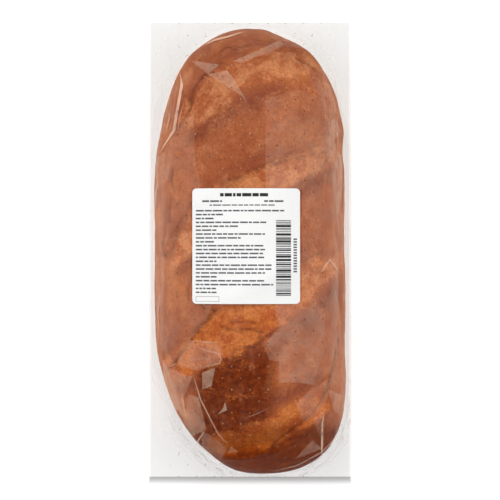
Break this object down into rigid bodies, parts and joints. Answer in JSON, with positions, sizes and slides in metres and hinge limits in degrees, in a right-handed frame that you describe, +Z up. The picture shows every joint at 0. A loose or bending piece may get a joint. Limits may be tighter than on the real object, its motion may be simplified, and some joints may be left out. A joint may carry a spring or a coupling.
{
  "type": "packed oval loaf",
  "caption": "Long oval white loaf with slanting knife cuts, packed in a clear film bag with a paper label on its front. It lies on its flat base.",
  "frame": {"origin": "centre of the pack's outline, on the surface it lies on", "axes": "+Y along the loaf to the mouth of the bag, +X across the loaf, +Z up through the label"},
  "size_m": [0.107, 0.242, 0.0781],
  "materials": {
    "crust": null,
    "film": "clear glossy plastic film, softly creased and slightly milky, pricked with small vent holes; listed as glass for its clearness",
    "label_paper": "white satin label paper with plain grey and black bars in place of print"
  },
  "bodies": {
    "root": {"loaf": "crust", "film_bag": "film", "label": "label_paper"}
  },
  "joints": []
}
